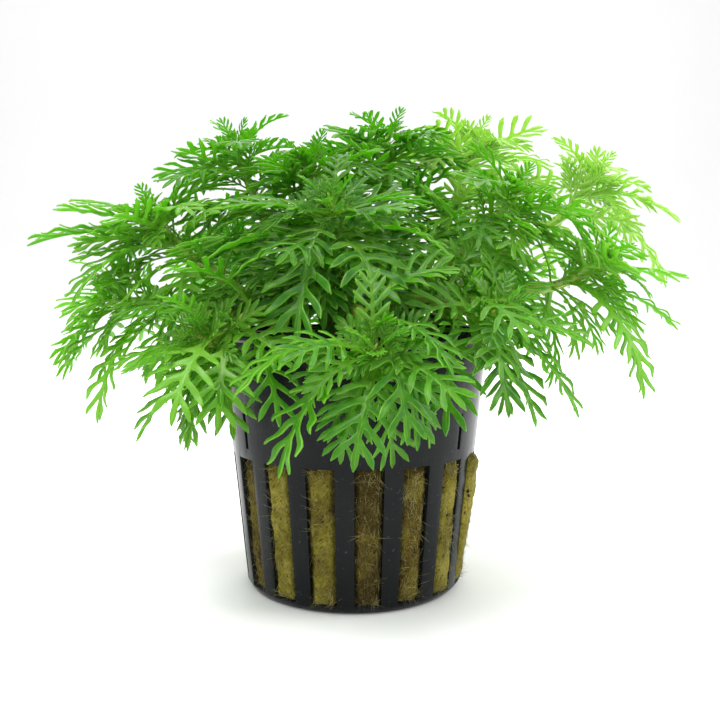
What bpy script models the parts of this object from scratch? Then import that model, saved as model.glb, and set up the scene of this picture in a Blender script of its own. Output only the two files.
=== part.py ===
"""Potted water violet: feather-leaved shoots that root in a mineral wool plug in a slotted pot.

Metres, +Z up. The origin is the middle of the pot's base, and the viewer stands at -Y.
"""

from itertools import product
from math import atan2, cos, hypot, pi, radians, sin

import bmesh
import bpy
from mathutils import Matrix, Vector
from mathutils.bvhtree import BVHTree

MM = 0.001
GAP = 0.3 * MM
UP = Vector((0, 0, 1))

# Pot: a moulded net pot, tapered towards its base
POT_HEIGHT = 50 * MM
BASE_RADIUS = 21.1 * MM
RIM_RADIUS = 26.2 * MM
WALL = 1.0 * MM
FLOOR = 1.4 * MM
FOOT_ROUND = 1.8 * MM
LIP_DEPTH = 1.6 * MM
LIP_PROUD = 0.45 * MM
EDGE_ROUND = 0.3 * MM
POT_STEPS = 34

# Windows of the pot: tall slots in its lower half, narrow slits above them, holes in its floor
SLOTS = 17
SLOT_PITCH = 2 * pi / SLOTS
SLOT_SPAN = radians(12.8)
FIRST_SLOT = radians(-83.1)
SLOT_BOTTOM = 1.5 * MM
SLOT_TOP = 26.5 * MM
SLIT_TURNS = (radians(-142.8), radians(-37.5), radians(90))
SLIT_WIDTH = 0.9 * MM
SLIT_BOTTOM = 28.5 * MM
SLIT_TOP = 35 * MM
DRAIN_HOLES = 6
DRAIN_RING = 12 * MM
DRAIN_RADIUS = 2.2 * MM

# Mineral wool: fills the pot to below its rim, swells into the slots, and has a planting pit
WOOL_TOP = 43 * MM
PIT_RADIUS = 11.5 * MM
PIT_MOUTH = 14.5 * MM
PIT_DEPTH = 7 * MM
PAD_SPAN = SLOT_SPAN - radians(1.8)
PAD_INSET = 0.4 * MM
SWOLLEN_PAD = 3
SWOLLEN_PROUD = 1.1 * MM

# Stems stand in the pit on two rings of feet
STEM_SIDES = 6
STEM_RADIUS = 1.3 * MM
STEM_SHARES = (0.0, 0.36, 0.72, 1.0)
LOW_WHORL = 8.5 * MM
LOW_WHORL_BAND = 1.3 * MM
CLIMB_SHARE = 0.42
LEAST_CLIMB = 27 * MM
LOW_ARRIVAL = 40
ARRIVAL_SHARE = 0.36
INNER_FEET = 5
INNER_RING = 3.9 * MM
OUTER_RING = 8.8 * MM
CROWN_STATIONS = ((1.3 * MM, 1.45 * MM), (2.6 * MM, 1.35 * MM), (3.8 * MM, 1.1 * MM))
CROWN_HEIGHT = 5.5 * MM

# Leaf sections: share of the length, and share of the greatest half width
LEAF_SECTIONS = (
    (0.30, 0.11),
    (0.46, 0.90),
    (0.50, 0.26),
    (0.65, 1.00),
    (0.69, 0.24),
    (0.84, 0.78),
)
MIDDLE_SECTIONS = ((0.55, 1.00), (0.61, 0.30), (0.84, 0.72))
UPPER_SECTIONS = ((0.48, 0.85), (0.75, 1.00))
YOUNG_SECTIONS = ((0.55, 0.80),)
LEAF_THICKNESS = 0.5 * MM
STALK_THICKNESS = 0.8 * MM
STALK_HALF_WIDTH = 0.5 * MM
STALK_GAP = 0.4 * MM
LEAF_ASPECT = 0.24
CORNER_REACH = 1.5
FIRST_SET_BACK = 1.4 * MM
NEXT_SET_BACK = 1.2 * MM

# How a leaf is brought clear of its neighbours: steps each way, in degrees, and shares of its
# length; a lift counts a little more than a turn, and a shorter leaf is the last choice
TRY_STEPS = range(-5, 6)
TURN_STEP = 9
LIFT_STEP = 8
TRY_LENGTHS = (1, 0.85, 0.7)
LIFT_COST = 1.2
SHORTER_COST = 220

# Whorls fused to a stem: band between its rings, first side, sections, length, opening, bend
WHORLS = (
    (3, 1, MIDDLE_SECTIONS, 18 * MM, 12, 70),
    (5, 0, MIDDLE_SECTIONS, 17 * MM, 18, 65),
    (6, 1, UPPER_SECTIONS, 13 * MM, 38, 60),
    (7, 0, YOUNG_SECTIONS, 7 * MM, 66, 35),
)

# Each shoot: tip of its bud in mm, lean of that tip from upright, rise of the stem where it
# arrives, and its largest leaves as (compass turn, rise, bend, length in mm)
SHOOTS = {
    "front_low": {
        "head": (3.4, -40, 49),
        "lean": 60,
        "arrival": -50,
        "leaves": [
            (-140, -25, 50, 24),
            (-155, 12, 65, 23),
            (-88, -25, 60, 21),
            (-58, -25, 55, 21),
            (-45, 8, 70, 19),
        ],
    },
    "front_high": {
        "head": (-4.2, -22, 73.4),
        "lean": 45,
        "arrival": 55,
        "leaves": [(-110, -20, 65, 25), (-70, -12, 60, 24), (-35, 25, 70, 22), (-155, 25, 65, 23)],
    },
    "left_high": {
        "head": (-39.2, -6, 73.3),
        "lean": 35,
        "arrival": 50,
        "leaves": [(195, 20, 45, 24), (215, 2, 65, 23), (165, 50, 55, 18)],
    },
    "left_side": {
        "head": (-50, 4, 58),
        "lean": 60,
        "arrival": 25,
        "leaves": [(172, 22, 60, 20), (185, -8, 65, 21), (225, -40, 45, 24)],
    },
    "left_low": {
        "head": (-27, -26, 50.5),
        "lean": 60,
        "arrival": -45,
        "leaves": [(225, -10, 60, 22), (260, -20, 60, 21), (180, 30, 55, 20), (295, -25, 55, 21)],
    },
    "right_low": {
        "head": (26.5, -23, 54.8),
        "lean": 62,
        "arrival": -20,
        "leaves": [(-68, -22, 60, 21), (-25, -20, 50, 26), (-115, -30, 55, 24), (-48, 8, 60, 20)],
    },
    "right_side": {
        "head": (52, 3, 63.8),
        "lean": 60,
        "arrival": 30,
        "leaves": [(-5, -5, 45, 20), (-30, -35, 50, 26), (-60, -35, 50, 24)],
    },
    "right_high": {
        "head": (32.5, -3, 77.6),
        "lean": 40,
        "arrival": 55,
        "leaves": [(-15, -5, 50, 25), (-110, 5, 60, 18)],
    },
    "far_right": {
        "head": (53.7, 22, 84.1),
        "lean": 35,
        "arrival": 52,
        "leaves": [(-35, 8, 55, 21), (-18, -20, 55, 26)],
    },
    "top_right": {
        "head": (26.8, 24, 92.1),
        "lean": 20,
        "arrival": 75,
        "leaves": [(20, 30, 60, 20), (240, 20, 60, 18)],
    },
    "top_middle": {
        "head": (7, 12, 91.3),
        "lean": 5,
        "arrival": 85,
        "leaves": [(235, 35, 60, 18), (-45, 30, 60, 18)],
    },
    "top_left": {
        "head": (-25.3, 8, 87.9),
        "lean": 25,
        "arrival": 70,
        "leaves": [(140, 70, 50, 16), (230, 15, 55, 20)],
    },
    "centre": {
        "head": (-8.4, -2, 84.1),
        "lean": 10,
        "arrival": 85,
        "leaves": [],
    },
    "back_left": {
        "head": (-30, 28, 70),
        "lean": 45,
        "arrival": 45,
        "leaves": [(120, 10, 60, 22), (165, 5, 60, 22)],
    },
    "back_middle": {
        "head": (4, 42, 60),
        "lean": 60,
        "arrival": 15,
        "leaves": [(110, 0, 60, 22), (70, 8, 65, 22)],
    },
    "back_right": {
        "head": (34, 35, 64),
        "lean": 50,
        "arrival": 30,
        "leaves": [(50, 5, 60, 22), (15, 0, 60, 22)],
    },
}

# Colours as linear values: colour, roughness
BLACK_PLASTIC = ((0.012, 0.013, 0.016), 0.25)
OLIVE_WOOL = ((0.19, 0.15, 0.045), 0.95)
STEM_GREEN = ((0.36, 0.47, 0.05), 0.45)
LEAF_GREEN = ((0.10, 0.30, 0.035), 0.5)


def material(name, look):
    colour, roughness = look
    made = bpy.data.materials.new(name)
    made.use_nodes = True
    shader = made.node_tree.nodes["Principled BSDF"]
    shader.inputs["Base Color"].default_value = (*colour, 1)
    shader.inputs["Roughness"].default_value = roughness
    shader.inputs["Metallic"].default_value = 0
    return made


def add_object(name, mesh, collection, finish=None):
    made = bpy.data.objects.new(name, mesh)
    collection.objects.link(made)
    if finish:
        mesh.materials.append(finish)
    return made


def mesh_from(bm, name):
    bmesh.ops.recalc_face_normals(bm, faces=bm.faces)
    mesh = bpy.data.meshes.new(name)
    bm.to_mesh(mesh)
    bm.free()
    return mesh


def wall_radius(height):
    """Outer radius of the pot's tapered wall at a height."""
    return BASE_RADIUS + (RIM_RADIUS - BASE_RADIUS) * height / POT_HEIGHT


def turned(name, profile, collection, finish):
    """A body turned round Z from a profile of (radius, height) that runs down its outer side."""
    bm = bmesh.new()
    points = [bm.verts.new((radius, 0, height)) for radius, height in profile]
    for first, second in zip(points, points[1:]):
        bm.edges.new((first, second))
    mesh = bpy.data.meshes.new(name)
    bm.to_mesh(mesh)
    bm.free()
    made = add_object(name, mesh, collection, finish)
    screw = made.modifiers.new("Turned", "SCREW")
    screw.steps = POT_STEPS
    screw.render_steps = POT_STEPS
    screw.use_merge_vertices = True
    screw.merge_threshold = 0.00001
    return made


def add_wedge(bm, middle, span, near, far, bottom, top):
    """A cube pulled into a wedge of constant angle about the pot's axis."""
    cube = bmesh.ops.create_cube(bm, size=2)
    for corner in cube["verts"]:
        side, depth, level = corner.co
        angle = middle + side * span / 2
        radius = far if depth > 0 else near
        corner.co = (radius * cos(angle), radius * sin(angle), top if level > 0 else bottom)


def slot_angle(number):
    return FIRST_SLOT + number * SLOT_PITCH


def window_cutter(collection):
    """One cutter for all the openings of the pot."""
    bm = bmesh.new()
    reach = RIM_RADIUS + 5 * MM
    for number in range(SLOTS):
        add_wedge(bm, slot_angle(number), SLOT_SPAN, BASE_RADIUS / 2, reach, SLOT_BOTTOM, SLOT_TOP)
    for turn in SLIT_TURNS:
        add_wedge(bm, turn, SLIT_WIDTH / RIM_RADIUS, BASE_RADIUS, reach, SLIT_BOTTOM, SLIT_TOP)
    for number in range(DRAIN_HOLES):
        turn = number * 2 * pi / DRAIN_HOLES
        place = Matrix.Translation((DRAIN_RING * cos(turn), DRAIN_RING * sin(turn), 0))
        bmesh.ops.create_cone(
            bm,
            cap_ends=True,
            segments=8,
            radius1=DRAIN_RADIUS,
            radius2=DRAIN_RADIUS,
            depth=4 * FLOOR,
            matrix=place,
        )
    cutter = add_object("window_cutter", mesh_from(bm, "window_cutter"), collection)
    cutter.hide_render = True
    cutter.display_type = "WIRE"
    return cutter


def make_pot(parts, cutters, finish):
    lip_bottom = POT_HEIGHT - LIP_DEPTH
    profile = [
        (0, FLOOR),
        (wall_radius(FLOOR) - WALL, FLOOR),
        (RIM_RADIUS - WALL, POT_HEIGHT - EDGE_ROUND),
        (RIM_RADIUS - WALL + EDGE_ROUND, POT_HEIGHT),
        (RIM_RADIUS + LIP_PROUD - EDGE_ROUND, POT_HEIGHT),
        (RIM_RADIUS + LIP_PROUD, POT_HEIGHT - EDGE_ROUND),
        (RIM_RADIUS + LIP_PROUD, lip_bottom),
        (wall_radius(lip_bottom), lip_bottom - LIP_PROUD),
        (wall_radius(FOOT_ROUND), FOOT_ROUND),
        (BASE_RADIUS - 0.3 * FOOT_ROUND, 0.35 * FOOT_ROUND),
        (BASE_RADIUS - FOOT_ROUND, 0),
        (0, 0),
    ]
    pot = turned("pot", profile, parts, finish)
    cut = pot.modifiers.new("Windows", "BOOLEAN")
    cut.operation = "DIFFERENCE"
    cut.object = window_cutter(cutters)
    return pot


def make_wool(parts, cutters, finish):
    """A plug whose side is pushed out through each slot. Its columns stand at the slots' edges."""
    levels = (FLOOR + GAP, SLOT_BOTTOM + GAP, SLOT_TOP - GAP, WOOL_TOP)
    bm = bmesh.new()
    disc = bmesh.ops.create_circle(bm, cap_ends=True, segments=2 * SLOTS, radius=BASE_RADIUS)
    for index, vert in enumerate(disc["verts"]):
        turn = slot_angle(index // 2) + (index % 2 - 0.5) * PAD_SPAN
        radius = wall_radius(levels[0]) - WALL - GAP
        vert.co = (radius * cos(turn), radius * sin(turn), levels[0])
    top = bm.faces[:]
    pads = []
    for level in levels[1:]:
        top = bmesh.ops.extrude_discrete_faces(bm, faces=top)["faces"]
        radius = wall_radius(level) - WALL - GAP
        for vert in top[0].verts:
            turn = atan2(vert.co.y, vert.co.x)
            vert.co = (radius * cos(turn), radius * sin(turn), level)
        if level == levels[2]:
            pads = [face for edge in top[0].edges for face in edge.link_faces if face != top[0]]
    bottom_edges = [edge for edge in bm.edges if edge.is_boundary]
    bmesh.ops.contextual_create(bm, geom=bottom_edges)
    for face in pads:
        middle = face.calc_center_median()
        turn = atan2(middle.y, middle.x)
        number = round((turn - FIRST_SLOT) / SLOT_PITCH)
        if abs(turn - slot_angle(number)) > PAD_SPAN / 4:
            continue
        proud = SWOLLEN_PROUD if number == SWOLLEN_PAD else -PAD_INSET
        pad = bmesh.ops.extrude_discrete_faces(bm, faces=[face])["faces"][0]
        for vert in pad.verts:
            spot = Vector((vert.co.x, vert.co.y, 0)).normalized()
            vert.co += spot * (WALL + GAP + proud)
    wool = add_object("mineral_wool", mesh_from(bm, "mineral_wool"), parts, finish)
    bm = bmesh.new()
    bmesh.ops.create_cone(
        bm,
        cap_ends=True,
        segments=20,
        radius1=PIT_RADIUS,
        radius2=2 * PIT_MOUTH - PIT_RADIUS,
        depth=2 * PIT_DEPTH,
        matrix=Matrix.Translation((0, 0, WOOL_TOP)),
    )
    cutter = add_object("pit_cutter", mesh_from(bm, "pit_cutter"), cutters)
    cutter.hide_render = True
    cutter.display_type = "WIRE"
    cut = wool.modifiers.new("Pit", "BOOLEAN")
    cut.operation = "DIFFERENCE"
    cut.object = cutter
    return wool


def centre(points):
    return sum(points, Vector()) / len(points)


def turned_to_fit(corners, like):
    """The corners, started at the one that brings them nearest to a like ring of points."""
    count = len(corners)
    middle, other = centre(corners), centre(like)

    def nearness(turned):
        return sum((a - middle).normalized().dot(b - other) for a, b in zip(turned, like))

    choices = [[corners[(index + shift) % count] for index in range(count)] for shift in range(count)]
    return max(choices, key=nearness)


def heading(turn, rise):
    """Unit vector at a compass turn from +X and a rise above level, both in degrees."""
    turn, rise = radians(turn), radians(rise)
    return Vector((cos(turn) * cos(rise), sin(turn) * cos(rise), sin(rise)))


def compass(shoot):
    return atan2(shoot["head"][1], shoot["head"][0]) * 180 / pi


def axis_of(shoot):
    """The way the growing tip points."""
    return heading(compass(shoot), 90 - shoot["lean"])


def feet_of(shoots):
    """The foot of each stem: the most upright stems stand on the inner ring, in compass order."""
    spread = sorted(shoots, key=lambda name: hypot(*shoots[name]["head"][:2]))
    feet = {}
    for names, ring in ((spread[:INNER_FEET], INNER_RING), (spread[INNER_FEET:], OUTER_RING)):
        names.sort(key=lambda name: compass(shoots[name]))
        first = radians(compass(shoots[names[0]]))
        for index, name in enumerate(names):
            turn = first + index * 2 * pi / len(names)
            foot = Vector((ring * cos(turn), ring * sin(turn), WOOL_TOP - PIT_DEPTH + GAP))
            feet[name] = foot
    return feet


def crown_base(shoot):
    """Where the stem ends and its growing tip starts."""
    return Vector(shoot["head"]) * MM - CROWN_HEIGHT * axis_of(shoot)


def stem_course(shoot, foot):
    """Middle and direction of the stem at a share of its way from foot to crown."""
    head = crown_base(shoot)
    span = (head - foot).length
    climb = max(CLIMB_SHARE * span, LEAST_CLIMB if shoot["arrival"] < LOW_ARRIVAL else 0)
    out = heading(compass(shoot), shoot["arrival"])
    knots = (foot, foot + climb * UP, head - ARRIVAL_SHARE * span * out, head)

    def at(share):
        a, b, c, d = knots
        rest = 1 - share
        middle = rest**3 * a + 3 * rest**2 * share * b + 3 * rest * share**2 * c + share**3 * d
        way = rest**2 * (b - a) + 2 * rest * share * (c - b) + share**2 * (d - c)
        return middle, way.normalized()

    return at


def stem_rings(shoot, foot):
    """Rings of points along the stem and round its growing tip, each ring turned like the last."""
    course = stem_course(shoot, foot)
    axis = axis_of(shoot)
    base = crown_base(shoot)
    span = (base - foot).length
    low = 1 - LOW_WHORL / span
    shares = [*(share * low for share in STEM_SHARES), low + LOW_WHORL_BAND / span, 1]
    stations = [(*course(share), STEM_RADIUS) for share in shares]
    stations += [(base + along * axis, axis, radius) for along, radius in CROWN_STATIONS]
    across = UP.cross(axis).normalized()
    rings = []
    for middle, way, radius in stations:
        across = (across - across.dot(way) * way).normalized()
        beside = way.cross(across)
        turns = [2 * pi * side / STEM_SIDES for side in range(STEM_SIDES)]
        rings.append([middle + radius * (cos(t) * across + sin(t) * beside) for t in turns])
    return rings


def leaf_outline(root, out, face_up, length, bend, sections):
    """Four corners of each section along a leaf, and its tip.

    The midrib is an arc that starts along out and bends away from the upper side, face_up.
    """
    beside = out.cross(face_up)
    bend = radians(bend)
    half_width = LEAF_ASPECT * length

    def at(share):
        turned_by = bend * share
        sweep = length / bend
        middle = root + sweep * (sin(turned_by) * out - (1 - cos(turned_by)) * face_up)
        return middle, cos(turned_by) * face_up + sin(turned_by) * out

    def corners(share, half, thickness):
        middle, upper = at(share)
        side, lift = half * beside, thickness / 2 * upper
        return [middle + side + lift, middle + side - lift, middle - side - lift, middle - side + lift]

    rows = [corners(0, STALK_HALF_WIDTH, STALK_THICKNESS)]
    for share, width in sections:
        rows.append(corners(share, max(width * half_width, STALK_HALF_WIDTH), LEAF_THICKNESS))
    return rows, at(1)[0]


def upper_side(out, shade):
    """The upper side of a leaf that starts along out and bends towards shade."""
    return -(shade - shade.dot(out) * out).normalized()


def tube_tree(rings, end):
    """Search tree of the skin over rings of points, up to a last point.

    A side that isn't flat may be split along either diagonal, so both are put in.
    """
    count = len(rings[0])
    points = [point for ring in rings for point in ring] + [end]
    faces = []
    for base in range(0, count * len(rings), count):
        for side in range(count):
            first, other = base + side, base + (side + 1) % count
            if base == count * (len(rings) - 1):
                faces.append((first, other, len(points) - 1))
                continue
            faces += [(first, other, other + count), (first, other + count, first + count)]
            faces += [(first, other, first + count), (other, other + count, first + count)]
    return BVHTree.FromPolygons(points, faces)


def leaf_tree(rows, tip, grow=0.0, skip=0):
    """Search tree of a leaf, made thicker by grow, without its first sections."""
    rings = []
    for row in rows[skip:]:
        middle = centre(row)
        reach = grow * CORNER_REACH
        rings.append([corner + (corner - middle).normalized() * reach for corner in row])
    return tube_tree(rings, tip + (tip - centre(rows[-1])).normalized() * grow)


def tree_of_object(made):
    graph = bpy.context.evaluated_depsgraph_get()
    return BVHTree.FromObject(made, graph)


def places_to_try():
    """Turns, lifts and lengths, least change first, that may bring a leaf clear of its neighbours."""
    tries = [
        (turn * TURN_STEP, lift * LIFT_STEP, share)
        for turn, lift, share in product(TRY_STEPS, TRY_STEPS, TRY_LENGTHS)
    ]

    def cost(change):
        turn, lift, share = change
        return abs(turn) + LIFT_COST * abs(lift) + SHORTER_COST * (1 - share), change

    return sorted(tries, key=cost)


TRIES = places_to_try()


def clear_leaf(root_for, out, shade, length, bend, sections, taken, base=(), whorl=()):
    """The leaf's outline, turned and lifted as little as brings it clear of all that is taken."""
    level = Vector((out.y, -out.x, 0)).normalized()
    for turn, lift, share in TRIES:
        way = Matrix.Rotation(radians(lift), 3, level) @ out
        way = Matrix.Rotation(radians(turn), 3, "Z") @ way
        side_up = upper_side(way, shade)
        root = root_for(way, side_up)
        rows, tip = leaf_outline(root, way, side_up, length * share, bend, sections)
        if base:
            rows[0] = turned_to_fit(base, rows[0])
        whole = leaf_tree(rows, tip, GAP)
        if any(whole.overlap(other) for other in taken):
            continue
        beyond_stalk = leaf_tree(rows, tip, GAP, skip=1)
        if not any(beyond_stalk.overlap(other) for other in whorl):
            return rows, tip
    return None


def stalk_root(middle, way):
    """Where a leaf's stalk starts, just clear of the stem on the side that the leaf leaves by."""

    def root_for(out, face_up):
        aside = (out - out.dot(way) * way).normalized()
        reach = STALK_HALF_WIDTH * abs(out.cross(face_up).dot(aside))
        reach += STALK_THICKNESS / 2 * abs(face_up.dot(aside))
        return middle + (STEM_RADIUS + STALK_GAP + reach) * aside

    return root_for


def draw_out(bm, face, before, after):
    """Extrudes a face, and moves its corners from one ring of points to the next."""
    face = bmesh.ops.extrude_discrete_faces(bm, faces=[face])["faces"][0]
    for vert in face.verts:
        nearest = min(range(len(before)), key=lambda index: (before[index] - vert.co).length)
        vert.co = after[nearest]
    return face


def draw_leaf(bm, face, rows, tip):
    for before, after in zip(rows, rows[1:]):
        face = draw_out(bm, face, before, after)
    face = draw_out(bm, face, rows[-1], [tip] * len(rows[-1]))
    end = face.verts[:]
    bmesh.ops.delete(bm, geom=[face], context="FACES_ONLY")
    bmesh.ops.pointmerge(bm, verts=end, merge_co=tip)


def make_leaf(name, rows, tip, parts, finish):
    """A leaf of its own: a cube pulled into its stalk, then drawn out section by section."""
    bm = bmesh.new()
    cube = bmesh.ops.create_cube(bm, size=2)
    end = next(face for face in bm.faces if all(vert.co.y > 0 for vert in face.verts))
    places = {(1, 1): 0, (1, -1): 1, (-1, -1): 2, (-1, 1): 3}
    for vert in cube["verts"]:
        across, along, upper = (round(value) for value in vert.co)
        vert.co = rows[1 if along > 0 else 0][places[across, upper]]
    draw_leaf(bm, end, rows[1:], tip)
    return add_object(name, mesh_from(bm, name), parts, finish)


def side_of_band(rings, band, side):
    """Corners of one side of the tube between two rings, its outward way and the way along."""
    lower, upper = rings[band], rings[band + 1]
    other = (side + 1) % STEM_SIDES
    corners = [lower[side], lower[other], upper[other], upper[side]]
    along = (centre(upper) - centre(lower)).normalized()
    outward = centre(corners) - centre([*lower, *upper])
    return corners, (outward - outward.dot(along) * along).normalized(), along


def side_face(bm, rings, band, side):
    """The face of a tube between two rings, found by where its middle is."""
    middle = centre(side_of_band(rings, band, side)[0])
    return min(bm.faces, key=lambda face: (face.calc_center_median() - middle).length)


def make_stem(name, rings, whorls, bud, parts, finish):
    """A stem drawn out ring by ring, with the young leaves drawn out of its growing tip."""
    bm = bmesh.new()
    bmesh.ops.create_circle(bm, cap_ends=True, segments=STEM_SIDES, radius=STEM_RADIUS)
    top = bm.faces[:][0]
    for vert, corner in zip(top.verts, rings[0]):
        vert.co = corner
    for before, after in zip(rings, rings[1:]):
        top = draw_out(bm, top, before, after)
    around = top.verts[:]
    bmesh.ops.delete(bm, geom=[top], context="FACES_ONLY")
    rim = [edge for edge in bm.edges if edge.is_boundary and set(edge.verts) <= set(around)]
    cone = bmesh.ops.extrude_edge_only(bm, edges=rim)
    tips = [item for item in cone["geom"] if isinstance(item, bmesh.types.BMVert)]
    bmesh.ops.pointmerge(bm, verts=tips, merge_co=bud)
    bmesh.ops.contextual_create(bm, geom=[edge for edge in bm.edges if edge.is_boundary])
    bmesh.ops.recalc_face_normals(bm, faces=bm.faces)
    for band, side, rows, tip in whorls:
        face = side_face(bm, rings, band, side)
        draw_leaf(bm, face, rows, tip)
    return add_object(name, mesh_from(bm, name), parts, finish)


def make_plant(parts, fixed, finishes):
    """All stems are given their room first, then the large leaves, then the young ones."""
    feet = feet_of(SHOOTS)
    rings = {name: stem_rings(shoot, feet[name]) for name, shoot in SHOOTS.items()}
    buds = {name: Vector(shoot["head"]) * MM for name, shoot in SHOOTS.items()}
    stems = {name: tube_tree(rings[name], buds[name]) for name in SHOOTS}
    taken = [*fixed, *stems.values()]
    for name, shoot in SHOOTS.items():
        course = stem_course(shoot, feet[name])
        span = (crown_base(shoot) - feet[name]).length
        for number, (turn, rise, bend, length) in enumerate(shoot["leaves"], start=1):
            set_back = FIRST_SET_BACK + (number - 1) * NEXT_SET_BACK
            stalk = stalk_root(*course(1 - set_back / span))
            out = heading(turn, rise)
            found = clear_leaf(stalk, out, -UP, length * MM, bend, LEAF_SECTIONS, taken)
            if found:
                make_leaf(f"leaf_{name}_{number}", *found, parts, finishes["leaf"])
                taken.append(leaf_tree(*found))
    for name, shoot in SHOOTS.items():
        shade = -(axis_of(shoot) + UP).normalized()
        others = [tree for tree in taken if tree is not stems[name]]
        own, grown = [], []
        for band, first, sections, length, opening, bend in WHORLS:
            for side in range(first, STEM_SIDES, 2):
                base, spoke, along = side_of_band(rings[name], band, side)
                out = cos(radians(opening)) * spoke + sin(radians(opening)) * along
                room = (others, base, own)
                found = clear_leaf(lambda *_: centre(base), out, shade, length, bend, sections, *room)
                if found:
                    own.append(leaf_tree(*found, skip=1))
                    taken.append(leaf_tree(*found))
                    grown.append((band, side, *found))
        make_stem(f"stem_{name}", rings[name], grown, buds[name], parts, finishes["stem"])


def main():
    for old in list(bpy.data.objects):
        bpy.data.objects.remove(old)
    scene = bpy.context.scene
    parts = bpy.data.collections.new("potted_water_violet")
    cutters = bpy.data.collections.new("cutters")
    scene.collection.children.link(parts)
    scene.collection.children.link(cutters)
    pot = make_pot(parts, cutters, material("black_plastic", BLACK_PLASTIC))
    wool = make_wool(parts, cutters, material("mineral_wool", OLIVE_WOOL))
    finishes = {"stem": material("stem_green", STEM_GREEN), "leaf": material("leaf_green", LEAF_GREEN)}
    bpy.context.view_layer.update()
    make_plant(parts, [tree_of_object(pot), tree_of_object(wool)], finishes)


main()
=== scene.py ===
"""Looks of a potted water violet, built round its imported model.

Metres, +Z up. The origin is the middle of the pot's base, and the viewer stands at -Y.
"""

from itertools import product
from math import atan, atan2, cos, pi, radians, sin
from random import Random

import bmesh
import bpy
import numpy as np
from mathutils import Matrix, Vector


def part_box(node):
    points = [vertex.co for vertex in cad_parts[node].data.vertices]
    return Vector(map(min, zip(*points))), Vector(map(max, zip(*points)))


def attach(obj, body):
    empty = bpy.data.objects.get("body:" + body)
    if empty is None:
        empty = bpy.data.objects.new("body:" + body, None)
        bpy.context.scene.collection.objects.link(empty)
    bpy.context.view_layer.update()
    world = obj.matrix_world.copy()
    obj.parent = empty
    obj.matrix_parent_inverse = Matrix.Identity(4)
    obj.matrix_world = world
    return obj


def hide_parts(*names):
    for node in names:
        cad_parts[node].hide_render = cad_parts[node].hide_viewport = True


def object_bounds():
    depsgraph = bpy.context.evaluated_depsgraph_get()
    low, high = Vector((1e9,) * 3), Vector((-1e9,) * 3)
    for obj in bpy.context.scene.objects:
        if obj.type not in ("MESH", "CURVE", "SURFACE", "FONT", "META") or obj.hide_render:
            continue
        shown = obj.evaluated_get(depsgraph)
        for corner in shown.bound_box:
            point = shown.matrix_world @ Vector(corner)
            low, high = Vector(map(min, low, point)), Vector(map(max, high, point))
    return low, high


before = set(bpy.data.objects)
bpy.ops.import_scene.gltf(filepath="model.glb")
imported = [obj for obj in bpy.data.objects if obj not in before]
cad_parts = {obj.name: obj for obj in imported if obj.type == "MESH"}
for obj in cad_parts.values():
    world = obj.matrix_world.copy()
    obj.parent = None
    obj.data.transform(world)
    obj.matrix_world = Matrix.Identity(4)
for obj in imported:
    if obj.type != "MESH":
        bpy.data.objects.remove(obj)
cad_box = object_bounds()
bpy.ops.object.select_all(action="DESELECT")

# Pot: a net pot moulded in glossy black plastic. The wall tapers to a rounded foot, tall slots open
# its lower half, three slits stand above them, and round holes drain the floor.
MM = 0.001
SLOTS = 17
SLOT_PITCH = 2 * pi / SLOTS
FIRST_SLOT = radians(-83.1)
POT_SEGMENTS = 10 * SLOTS
POT_STEP = 2 * pi / POT_SEGMENTS
SLOT_SEGMENTS = 6
SLOT_HALF_TURN = SLOT_SEGMENTS * POT_STEP / 2
SLOT_BOTTOM, SLOT_TOP = 1.5 * MM, 26.5 * MM
SLIT_TURNS = (radians(-142.8), radians(-37.5), radians(90))
SLIT_BOTTOM, SLIT_TOP = 28.5 * MM, 35 * MM
BASE_RADIUS = 21.1 * MM
LIP_PROUD = 0.45 * MM
LIP_DEPTH = 1.6 * MM
FOOT_PROFILE = ((1.8 * MM, 0), (0.9 * MM, 0.2 * MM), (0.3 * MM, 0.75 * MM))
WALL = 1.0 * MM
DRAIN_HOLES = 6
DRAIN_RING = 12 * MM
DRAIN_RADIUS = 2.2 * MM
EDGE_ROUND = 0.2 * MM
SHARP_EDGE = radians(35)
POT_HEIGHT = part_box("pot")[1].z
RIM_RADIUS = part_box("pot")[1].x - LIP_PROUD


def wall_radius(height):
    """Outer radius of the pot's wall at a height."""
    return BASE_RADIUS + (RIM_RADIUS - BASE_RADIUS) * height / POT_HEIGHT


def select_faces(test):
    """In edit mode, leaves only the faces selected whose middle passes the test."""
    bpy.ops.mesh.select_mode(type="FACE")
    bpy.ops.mesh.select_all(action="DESELECT")
    mesh = bpy.context.edit_object.data
    bm = bmesh.from_edit_mesh(mesh)
    for face in bm.faces:
        face.select_set(test(face.calc_center_median()))
    bmesh.update_edit_mesh(mesh)


def apply_all(piece):
    """Applies the piece's modifiers in order."""
    bpy.context.view_layer.objects.active = piece
    for modifier in list(piece.modifiers):
        bpy.ops.object.modifier_apply(modifier=modifier.name)


def draw_up(rings):
    """Extrudes the selected round face through rings of (radius, height)."""
    for (radius, height), (next_radius, next_height) in zip(rings, rings[1:]):
        rise = {"value": (0, 0, next_height - height)}
        bpy.ops.mesh.extrude_region_move(TRANSFORM_OT_translate=rise)
        grow = next_radius / radius
        bpy.ops.transform.resize(value=(grow, grow, 1), center_override=(0, 0, next_height))


def off_slot(spot):
    """Number of the nearest slot, and the turn of a spot from that slot's middle."""
    turn = atan2(spot.y, spot.x) - FIRST_SLOT
    number = round(turn / SLOT_PITCH)
    return number % SLOTS, turn - number * SLOT_PITCH


def in_slot(spot):
    outer = spot.xy.length > BASE_RADIUS / 2
    return outer and SLOT_BOTTOM < spot.z < SLOT_TOP and abs(off_slot(spot)[1]) < SLOT_HALF_TURN


def in_slit(spot):
    turn = atan2(spot.y, spot.x)
    nearest = min(abs(turn - slit) for slit in SLIT_TURNS)
    return nearest < POT_STEP / 2 and SLIT_BOTTOM < spot.z < SLIT_TOP


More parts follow.
